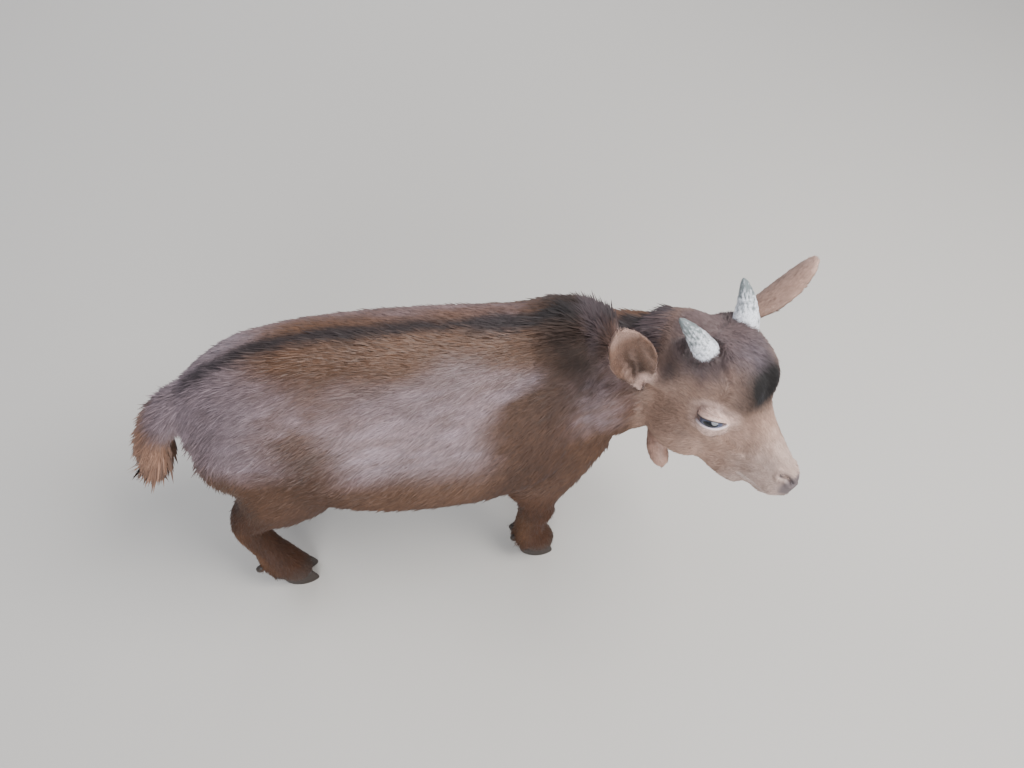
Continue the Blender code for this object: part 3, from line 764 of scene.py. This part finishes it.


def tuftFields(points, normals, weights, lidField):
    table = np.array([tuftLook[name] for name in regionNames])
    length, width, lift, count = (weights @ table).T
    x, y, z = points.T
    trunk = shareOf(weights, "trunk", "neck")
    head = shareOf(weights, "head")
    lower = shareOf(weights, "legLower")
    backward = -normals[:, 0]
    ridge = ease(0.020, 0.006, np.abs(y - middleY)) * ease(0.26, 0.30, z) * trunk
    mane = ridge * hump(x, 0.085, 0.035)
    # long hair under the tail and down the back of the thighs
    under = ease(0.0, 0.7, normals @ unit(np.array([0.8, 0.0, -0.6]))) * shareOf(weights, "tail")
    breech = ease(0.3, 0.9, backward) * ease(-0.165, -0.19, x) * ease(0.29, 0.27, z)
    breech = breech * ease(0.17, 0.21, z) * trunk
    local = toHead(points)
    hx, hy, hz = local.T
    forelock = hump(hx, 38, 18) * hump(hy, 0, 18) * ease(15, 25, hz) * head
    muzzleShare = ease(70, 108, hx) * head
    foot = ease(0.05, 0.02, z) * lower
    heel = hump(z, 0.036, 0.012) * ease(0.1, 0.7, backward) * lower
    # each place makes the hair longer and lifts it by a share
    changes = (
        ((ridge, 0.25, 0.5), (mane, 0.45, 0.8)),
        ((under, 0.6, 0.6), (breech, 0.6, 0.5)),
        ((forelock, 0.9, 0.5),),
        ((muzzleShare, -0.45, 0.0),),
        ((foot, -0.35, 0.0),),
        ((heel, 1.3, 0.5),),
    )
    for rows in changes:
        length = length * (1 + sum(longer * share for share, longer, _ in rows))
        lift = lift * (1 + sum(higher * share for share, _, higher in rows))
    for _, share in hornCuffs(local):
        lift = lift + cuffLook["lift"] * share * head
    width = width * (1 - 0.2 * mane) * (1 - 0.3 * muzzleShare)
    count = count * (1 + 0.4 * muzzleShare)
    # bare skin: nose pad, nostrils, inside the lids
    bare = ease(114.5, 117.5, hx - 0.35 * np.abs(hz + 14)) * ease(-25.5, -22.5, hz) * head
    bare = np.maximum(bare, ease(3.2, 2.0, formDistance(local, "nostril")) * head)
    bare = np.maximum(bare, ease(1.3, 0.8, formDistance(local, "mouth")) * head)
    bare = np.maximum(bare, ease(-2.0, -1.2, lidField))
    length = length * (1 - 0.5 * ease(-9, -2, lidField))
    count = np.where(bare > 0.5, 0.0, count * (1 - bare))
    count = count * (z > 0.012)
    return np.stack([length, width, lift, count], 1)


def growTufts(mesh, lie, fields, colours, normals):
    points = readPoints(mesh)
    corners = readList(mesh.polygons, "vertices", np.int64, 3)
    uv = readList(mesh.uv_layers["OFBake"].data, "uv", float, 2).reshape(-1, 3, 2)
    a, b, c = (points[corners[:, k]] for k in range(3))
    area = 0.5 * lengths(np.cross(b - a, c - a))
    want = area * 1e4 * fields[corners, 3].mean(axis=1)
    total = want.cumsum()
    count = int(min(total[-1], tuftMost))
    picks = np.searchsorted(total, (np.arange(count) + rng.random(count)) * total[-1] / count)
    picks = np.clip(picks, 0, len(corners) - 1)
    share = rng.random((count, 2))
    flip = share.sum(axis=1) > 1
    share[flip] = 1 - share[flip]
    share = np.column_stack([1 - share.sum(axis=1), share])[:, :, None]
    picked = corners[picks]

    def blend(values):
        return (values * share).sum(axis=1)

    return {"root": blend(points[picked]), "normal": unit(blend(normals[picked])),
            "lie": blend(lie[picked]), "field": blend(fields[picked]),
            "colour": blend(colours[picked]), "uv": blend(uv[picks])}


# swings and spreads are in radians, and the tones run from the root's corners to the back and the tip:
# painted shade at the roots, painted highlight at the tip
bladeLook = {"swing": 0.13, "drift": 0.16, "guards": 0.08, "guardLength": 1.15, "guardLift": 1.4,
             "sunk": 0.0003, "patch": 0.0015, "rootShadeTones": (0.70, 0.70, 0.98, 1.12), "scatter": 0.16}


def tuftMesh(name, tufts, chosen):
    # each tuft is a slim closed blade: two root corners, a raised back and a fine tip
    part = {key: value[chosen] for key, value in tufts.items()}
    count = len(part["root"])
    local = np.random.default_rng(len(name) + count)
    normal = part["normal"]
    lie = laidFlat(part["lie"], normal)
    drift = bladeLook["drift"] * softNoise(part["root"], 0.03, 9)[:, None]
    swing = local.normal(0, bladeLook["swing"], (count, 1)) + drift
    lie = lie * np.cos(swing) + np.cross(normal, lie) * np.sin(swing)
    side = np.cross(normal, lie)
    guard = local.random((count, 1)) < bladeLook["guards"]
    length = part["field"][:, [0]] * local.uniform(0.7, 1.2, (count, 1))
    length = length * np.where(guard, bladeLook["guardLength"], 1.0)
    width = part["field"][:, [1]] * local.uniform(0.7, 1.3, (count, 1))
    lift = part["field"][:, [2]] * local.uniform(0.6, 1.3, (count, 1))
    lift = np.radians(lift * np.where(guard, bladeLook["guardLift"], 1.0))
    rise = length * np.sin(lift)
    root = part["root"] - normal * bladeLook["sunk"]
    back = part["root"] + lie * length * 0.36 * np.cos(lift) + normal * (rise * 0.55 + width * 0.35)
    tip = part["root"] + lie * length * np.cos(lift) + normal * rise
    points = np.stack([root + side * width * 0.5, root - side * width * 0.5, back, tip], axis=1)
    faces = np.array([(0, 1, 2), (0, 2, 3), (1, 3, 2), (0, 3, 1)])
    index = (faces[None] + 4 * np.arange(count)[:, None, None]).reshape(-1)
    mesh = bpy.data.meshes.new(name)
    mesh.vertices.add(count * 4)
    mesh.vertices.foreach_set("co", points.ravel())
    mesh.loops.add(len(index))
    mesh.loops.foreach_set("vertex_index", index.astype(np.int32))
    mesh.polygons.add(len(index) // 3)
    mesh.polygons.foreach_set("loop_start", np.arange(0, len(index), 3, dtype=np.int32))
    mesh.update(calc_edges=True)
    mesh.shade_smooth()
    # a small patch of the bake map at the root's own place
    patch = np.array([(-1, -1), (1, -1), (0, 0.1), (0, 1)]) * bladeLook["patch"]
    uv = (part["uv"][:, None] + patch[None]).reshape(-1, 2)[index]
    layer = mesh.uv_layers.new(name="OFBake")
    layer.data.foreach_set("uv", uv.ravel())
    # a random tone for each tuft, times painted shade at the root and a painted highlight at the tip
    shade = local.uniform(0.82, 1.18, (count, 1, 1)) * np.array(bladeLook["rootShadeTones"])[None, :, None]
    colour = np.clip(part["colour"][:, None, :3] * shade, 0, 1)
    colour = np.concatenate([colour, np.repeat(part["colour"][:, None, 3:], 4, axis=1)], axis=2)
    addAttribute(mesh, "coatColour", colour)
    # the blades take their shading from the body they lie on, as a combed coat does
    scatter = local.normal(0, bladeLook["scatter"], (count, 3))
    tilt = normal * np.cos(lift) - lie * np.sin(lift) + scatter
    shading = np.stack([tilt + side * 0.5, tilt - side * 0.5, tilt, tilt + lie * 0.2], axis=1)
    mesh.normals_split_custom_set_from_vertices(unit(shading).reshape(-1, 3).tolist())
    return mesh


print("coat")
skinNormals = readNormals(skinMesh)
skinPoints = readPoints(skinMesh)
skinColour = coatColour(skinPoints, skinNormals, regionWeights, lidGap)
addAttribute(skinMesh, "coatColour", skinColour * (0.8, 0.8, 0.8, 1.0))
lieField = coatLie(skinPoints, skinNormals, regionWeights, skinEdges)
fields = tuftFields(skinPoints, skinNormals, regionWeights, lidGap)
fields[:, 3] *= ease(0.6, 0.2, hardShare)
tufts = growTufts(skinMesh, lieField, fields, skinColour, skinNormals)
print("tufts", len(tufts["root"]))


def makeCoatMaterial():
    # guard hairs: smooth keratin that throws back a cool, silvery sky light
    material, shader, place, add = newMaterial("goat hair", {
        "IOR": 1.5, "Specular IOR Level": 0.38, "Sheen Weight": 0.05, "Sheen Roughness": 0.4,
        "Sheen Tint": (0.72, 0.74, 0.85, 1.0)})
    colour = add("Attribute", {"attribute_name": "coatColour"})
    streak = add("TexNoise", {"Scale": 260.0, "Detail": 3.0},
                 {"Vector": place})  # about 4 mm from lock to lock
    vary = add("MapRange", {"To Min": 0.78, "To Max": 1.24}, {"Value": (streak, "Fac")})
    tone = add("VectorMath", {"operation": "SCALE"}, {0: (colour, "Color"), "Scale": (vary, "Result")})
    spot = add("MapRange", {"To Min": 0.85, "To Max": 1.15}, {"Value": (streak, "Fac")})
    rough = add("Math", {"operation": "MULTIPLY"}, {0: (colour, "Alpha"), 1: (spot, "Result")})
    join(shader, {"Base Color": (tone, 0), "Roughness": (rough, 0)})
    return material


def makeSkinMaterial():
    # skin under the hair, bare on the nose and the rims of the lids
    material, shader, place, add = newMaterial("goat skin", {})
    colour = add("Attribute", {"attribute_name": "coatColour"})
    grain = add("TexNoise", {"Scale": 900.0, "Detail": 2.0}, {"Vector": place})
    pores = add("TexVoronoi", {"Scale": 700.0}, {"Vector": place})
    both = add("Math", {"operation": "ADD"}, {0: (grain, "Fac"), 1: (pores, "Distance")})
    bump = add("Bump", {"Strength": 0.35, "Distance": 0.0006}, {"Height": (both, 0)})
    join(shader, {"Base Color": (colour, "Color"), "Roughness": (colour, "Alpha")})
    join(shader, {"Normal": (bump, "Normal")})
    return material


def makeHornMaterial():
    # dry kid horn: grey-green sheath under pale, flaking scurf
    material, shader, place, add = newMaterial("horn sheath", {"Roughness": 0.32})
    share = add("Attribute", {"attribute_name": "hornShare"})
    flakes = add("TexNoise", {"Scale": 420.0, "Detail": 6.0, "Roughness": 0.7}, {"Vector": place})
    relief = add("Attribute", {"attribute_name": "hornFlake"})
    raised = add("Math", {"operation": "ADD"}, {0: (flakes, "Fac"), 1: (relief, "Fac")})
    edge = add("Math", {"operation": "SUBTRACT"}, {0: (raised, 0), 1: (share, "Fac")})
    mask = add("MapRange", {"From Min": -0.10, "From Max": 0.36}, {"Value": (edge, 0)})
    ramp = add("Mix", {"data_type": "RGBA", 6: paint("#6f7878"), 7: paint("#e4e6ec")},
               {"Factor": (mask, "Result")})
    crack = add("TexNoise", {"Scale": 800.0, "Detail": 5.0, "Roughness": 0.75}, {"Vector": place})
    dirt = add("MapRange", {"From Min": 0.50, "From Max": 0.68}, {"Value": (crack, "Fac")})
    stain = add("Mix", {"data_type": "RGBA", 7: paint("#7c7a78")},
                {"Factor": (dirt, "Result"), 6: (ramp, 2)})
    height = add("Math", {"operation": "SUBTRACT"}, {0: (flakes, "Fac"), 1: (crack, "Fac")})
    bump = add("Bump", {"Strength": 0.9, "Distance": 0.0008}, {"Height": (height, 0)})
    join(shader, {"Base Color": (stain, 2), "Normal": (bump, "Normal")})
    return material


def makeClawMaterial():
    # hoof horn: dark brown-black, with fine growth lines along its height
    material, shader, place, add = newMaterial("hoof horn", {"Roughness": 0.5})
    turn = add("Mapping", {"Scale": (40.0, 40.0, 900.0)}, {"Vector": place})
    lines = add("TexNoise", {"Scale": 1.0, "Detail": 3.0}, {"Vector": (turn, "Vector")})
    ramp = add("Mix", {"data_type": "RGBA", 6: paint("#140f0d"), 7: paint("#372a22")},
               {"Factor": (lines, "Fac")})
    bump = add("Bump", {"Strength": 0.3, "Distance": 0.0004}, {"Height": (lines, "Fac")})
    join(shader, {"Base Color": (ramp, 2), "Normal": (bump, "Normal")})
    return material


# sizes are shares of the eyeball's radius, and stretch turns a round pupil into a level slot
irisLook = {"raised": 0.12, "iris": (0.62, 0.70), "pupil": (0.40, 0.46), "stretch": (1.0, 2.6, 0.0),
            "dark": "#262935", "light": "#5f6276", "hole": "#0b0c11", "white": "#6c5c5a"}


def makeEyeMaterial(word, side):
    # wet cornea over a dark slate iris
    material, shader, place, add = newMaterial(f"eye {word}", {
        "Roughness": 0.12, "Coat Weight": 1.0, "Coat Roughness": 0.03, "IOR": 1.38})
    along, upward, _ = (headAxes @ axis for axis in eyeAxes(side))
    radius = eyeShape["radius"] * headPose["unit"]
    centre = fromHead(eyeCentre(side)) + upward * irisLook["raised"] * radius
    offset = add("VectorMath", {"operation": "SUBTRACT", 1: centre}, {0: place})
    slot = add("CombineXYZ")
    for k, axis in enumerate((along, upward)):
        dot = add("VectorMath", {"operation": "DOT_PRODUCT", 1: axis / radius}, {0: (offset, 0)})
        join(slot, {k: (dot, "Value")})
    irisReach = add("VectorMath", {"operation": "LENGTH"}, {0: (slot, 0)})
    iris = add("MapRange", {"From Min": irisLook["iris"][0], "From Max": irisLook["iris"][1]},
               {"Value": (irisReach, "Value")})
    squeeze = add("VectorMath", {"operation": "MULTIPLY", 1: irisLook["stretch"]}, {0: (slot, 0)})
    pupilReach = add("VectorMath", {"operation": "LENGTH"}, {0: (squeeze, 0)})
    pupil = add("MapRange", {"From Min": irisLook["pupil"][0], "From Max": irisLook["pupil"][1]},
                {"Value": (pupilReach, "Value")})
    fibre = add("TexNoise", {"Scale": 900.0, "Detail": 3.0}, {"Vector": place})
    irisTone = add("Mix", {"data_type": "RGBA", 6: paint(irisLook["dark"]), 7: paint(irisLook["light"])},
                   {"Factor": (fibre, "Fac")})
    withPupil = add("Mix", {"data_type": "RGBA", 6: paint(irisLook["hole"])},
                    {"Factor": (pupil, "Result"), 7: (irisTone, 2)})
    white = add("Mix", {"data_type": "RGBA", 7: paint(irisLook["white"])},
                {"Factor": (iris, "Result"), 6: (withPupil, 2)})
    join(shader, {"Base Color": (white, 2)})
    return material


hairMaterial = makeCoatMaterial()
skinMesh.materials.clear()
skinMesh.materials.append(makeSkinMaterial())
hornMaterial = makeHornMaterial()
clawMaterial = makeClawMaterial()

# the coat is parted at the head and above the legs, and each part along the body
rootLocal = toHead(tufts["root"])
isHead = (reachFrom(rootLocal, (42, 0, -5)) < 105) & (rootLocal[:, 0] > -35)
isLeg = (tufts["root"][:, 2] < 0.155) & ~isHead
coatPieces = 0
isBody = ~isHead & ~isLeg
parts = (("coat_head", isHead, "face"), ("coat_legs", isLeg, "leg"), ("coat_body", isBody, "coat"))
for name, chosen, slot in parts:
    index = np.nonzero(chosen)[0]
    index = index[np.argsort(tufts["root"][index, 0], kind="stable")]
    for k in range(0, len(index), tuftsPerPiece):
        label = f"{name}_{k // tuftsPerPiece + 1}"
        piece = addPiece(label, tuftMesh(label, tufts, index[k:k + tuftsPerPiece]), hairMaterial)
        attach(piece, "root")
        coatPieces += 1
print("coat pieces", coatPieces)

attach(skin, "root")
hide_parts(*fleshNodes)

corneaLook = {"from": 0.72, "swell": 0.10, "segments": (48, 32)}


def makeEyeball(word, side):
    along, upward, outward = (headAxes @ axis for axis in eyeAxes(side))
    radius = eyeShape["radius"] * headPose["unit"]
    bm = bmesh.new()
    around, down = corneaLook["segments"]
    bmesh.ops.create_uvsphere(bm, u_segments=around, v_segments=down, radius=radius)
    turn = Matrix((along, upward * side, outward)).transposed()
    for vert in bm.verts:
        height = vert.co.z / radius
        if height > corneaLook["from"]:
            vert.co *= 1 + corneaLook["swell"] * (height - corneaLook["from"])
        vert.co = turn @ vert.co + Vector(fromHead(eyeCentre(side)))
    # the turn mirrors the ball, so its faces are turned out again
    bm.normal_update()
    bmesh.ops.recalc_face_normals(bm, faces=bm.faces)
    mesh = meshFrom(bm, f"eyeball_{word}")
    mesh.shade_smooth()
    return mesh


print("eyes, horns, claws")
for side, word in ((1, "left"), (-1, "right")):
    eye = addPiece(f"eyeball_{word}", makeEyeball(word, side), makeEyeMaterial(word, side))
    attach(eye, "root")
    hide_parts(f"eye_{word}")

# radii, bow and the share sunk in the skull shape the axis, and the rest its rings and scurf
hornLook = {"radii": (11.2, 9.3), "bow": 2.5, "sunk": 0.55, "shown": 0.82, "taper": 0.62, "tip": 0.26,
            "ridge": 0.00013, "step": 0.0042, "scurf": 0.00022, "flake": 0.22, "rings": 90, "sides": 64}


def makeHorn(word):
    # one ring drawn on and on along the bowed axis, closed at the blunt tip
    root, tip = (Vector(end) for end in hornEnds[word])
    along = (tip - root).normalized()
    side = Vector((0, 1, 0)).cross(along).normalized()
    lift = along.cross(side)
    bm = bmesh.new()
    ring = bmesh.ops.create_circle(bm, segments=hornLook["sides"], radius=1.0)["verts"]
    ring = sorted(ring, key=lambda vert: vert.index)
    turns = [math.atan2(vert.co.y, vert.co.x) for vert in ring]
    loop = list(bm.edges)
    for k in range(hornLook["rings"] + 1):
        if k:
            grown = bmesh.ops.extrude_edge_only(bm, edges=loop)["geom"]
            ring = [item for item in grown if isinstance(item, bmesh.types.BMVert)]
            loop = [item for item in grown if isinstance(item, bmesh.types.BMEdge)
                    and all(vert in grown for vert in item.verts)]
        share = k / hornLook["rings"]
        reach = share * (hornLook["shown"] + hornLook["sunk"]) - hornLook["sunk"]
        run = max(0.0, reach + 0.18)
        taper = 1.0 - hornLook["taper"] * run - hornLook["tip"] * run ** 4
        taper *= math.sqrt(max(0.0, 1.0 - max(0.0, (share - 0.95) / 0.05) ** 2))
        taper *= 1 + 0.08 * math.exp(-(reach / 0.10) ** 2)
        centre = root.lerp(tip, reach) + side * hornLook["bow"] * math.sin(math.pi * run)
        for turn, vert in zip(turns, ring):
            vert.co = (centre + side * hornLook["radii"][0] * taper * math.cos(turn)
                       + lift * hornLook["radii"][1] * taper * math.sin(turn))
    bmesh.ops.remove_doubles(bm, verts=bm.verts, dist=1e-4)
    bmesh.ops.recalc_face_normals(bm, faces=bm.faces)
    mesh = meshFrom(bm, f"horn_sheath_{word}")
    local = readPoints(mesh)
    axis = np.array(tip - root)
    share = (local - np.array(root)) @ axis / (axis @ axis)
    writePoints(mesh, fromHead(local))
    points = readPoints(mesh)
    run = share * np.linalg.norm(axis) * headPose["unit"]
    waver = 2.2 * softNoise(points, 0.012, 4)
    ridge = np.sin(run / hornLook["step"] * 2 * math.pi + waver) * ease(0.95, 0.3, share)
    # the scurf lies in strips along the horn
    drawn = points - 0.7 * ((points - fromHead(root)) @ headWay(along))[:, None] * headWay(along)
    scurf = 0.7 * softNoise(drawn, 0.0042, 11) + softNoise(drawn, 0.0020, 12)
    scurf += 0.7 * softNoise(drawn, 0.0010, 13)
    scurf *= 0.35 + 0.65 * ease(0.9, 0.3, share)
    relief = hornLook["ridge"] * ridge + hornLook["scurf"] * scurf
    writePoints(mesh, points + readNormals(mesh) * relief[:, None])
    addAttribute(mesh, "hornShare", np.clip(share, 0, 1))
    addAttribute(mesh, "hornFlake", hornLook["flake"] * scurf)
    mesh.shade_smooth()
    return mesh


for word in ("left", "right"):
    piece = addPiece(f"horn_sheath_{word}", makeHorn(word), hornMaterial)
    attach(piece, "root")
    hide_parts(f"horn_{word}")

clawLook = {"levels": 3, "crease": 0.8, "line": 0.0021, "relief": 0.00011, "waver": 0.0006,
            "dewclawLevels": 2, "dewclawSink": 0.0024}


def makeClaw(name, skinTree):
    # rounded copy of the solid, flat on its sole, with growth lines round its wall
    isDewclaw = name.startswith("dew")
    bm = solidCopy(name)
    bmesh.ops.join_triangles(bm, faces=bm.faces, angle_face_threshold=0.5, angle_shape_threshold=0.9)
    bm.normal_update()
    crease = bm.edges.layers.float.new("crease_edge")
    for edge in bm.edges:
        sole = [face for face in edge.link_faces if face.normal.z < -0.95]
        edge[crease] = clawLook["crease"] if len(sole) == 1 and not isDewclaw else 0.0
    piece = addPiece("horny_" + name, meshFrom(bm, name), clawMaterial)
    rounding = piece.modifiers.new("Round", "SUBSURF")
    rounding.levels = rounding.render_levels = clawLook["dewclawLevels" if isDewclaw else "levels"]
    mesh = bakeModifiers(piece)
    points = readPoints(mesh)
    normals = readNormals(mesh)
    low = points[:, 2].min()
    if isDewclaw:
        _, outward, _, _ = skinTree.find_nearest(Vector(points.mean(axis=0)))
        points = points - np.array(outward) * clawLook["dewclawSink"]
    wall = ease(0.95, 0.6, np.abs(normals[:, 2])) * ease(0.0008, 0.002, points[:, 2] - low)
    height = points[:, 2] + clawLook["waver"] * softNoise(points, 0.02, 8)
    line = np.sin(height / clawLook["line"] * 2 * math.pi)
    writePoints(mesh, points + normals * (clawLook["relief"] * line * wall)[:, None])
    mesh.shade_smooth()
    return piece


skinFaces = [list(face.vertices) for face in skinMesh.polygons]
skinTree = BVHTree.FromPolygons(readPoints(skinMesh).tolist(), skinFaces)
for name in hardNodes:
    if "claw" in name:
        piece = makeClaw(name, skinTree)
        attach(piece, "root")
        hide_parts(name)

print("stage")
# power and width of each light, where it stands, the height it faces, and its colour
studio = {
    "key": (46.0, 1.1, (0.85, -0.25, 1.6), 0.2, (1.0, 0.985, 0.97)),
    "fill": (40.0, 1.5, (-0.15, -1.75, 0.95), 0.2, (0.95, 0.97, 1.0)),
    "rim": (12.0, 1.0, (-1.2, 0.9, 1.5), 0.25, (0.86, 0.90, 1.0)),
    "far": (16.0, 1.5, (0.1, 1.9, 0.6), 0.2, (0.97, 0.98, 1.0)),
}
skyLook = {"colour": (0.80, 0.85, 0.95, 1), "strength": 0.6}
floorLook = {"size": 6.0, "colour": "#b4b0aa", "roughness": 0.85}

bm = bmesh.new()
bmesh.ops.create_grid(bm, x_segments=2, y_segments=2, size=floorLook["size"])
paper = newMaterial("pale studio paper", {
    "Base Color": paint(floorLook["colour"]), "Roughness": floorLook["roughness"]})[0]
floor = addPiece("floor", meshFrom(bm, "floor"), paper)

for name, (power, size, place, height, colour) in studio.items():
    light = bpy.data.lights.new(name, "AREA")
    light.shape = "DISK"
    light.size = size
    light.energy = power
    light.color = colour
    item = bpy.data.objects.new(name, light)
    item.location = place
    item.rotation_euler = (Vector((0, 0, height)) - Vector(place)).to_track_quat("-Z", "Y").to_euler()
    bpy.context.scene.collection.objects.link(item)

world = bpy.data.worlds.new("studio")
bpy.context.scene.world = world
world.use_nodes = True
sky = world.node_tree.nodes["Background"]
sky.inputs["Color"].default_value = skyLook["colour"]
sky.inputs["Strength"].default_value = skyLook["strength"]

# looks down from above the goat's right side, head end to the right
view = {"place": (-0.03391, -0.31654, 0.8), "focal": 26.72, "down": 57.76, "turn": 12.0, "tilt": 4.19}
camera = bpy.data.cameras.new("camera")
camera.lens = view["focal"]
camera.sensor_width = 36.0
cameraItem = bpy.data.objects.new("camera", camera)
bpy.context.scene.collection.objects.link(cameraItem)
cameraItem.matrix_world = (Matrix.Translation(view["place"])
                           @ Matrix.Rotation(math.radians(-view["turn"]), 4, "Z")
                           @ Matrix.Rotation(math.radians(90 - view["down"]), 4, "X")
                           @ Matrix.Rotation(math.radians(view["tilt"]), 4, "Z"))
bpy.context.scene.camera = cameraItem
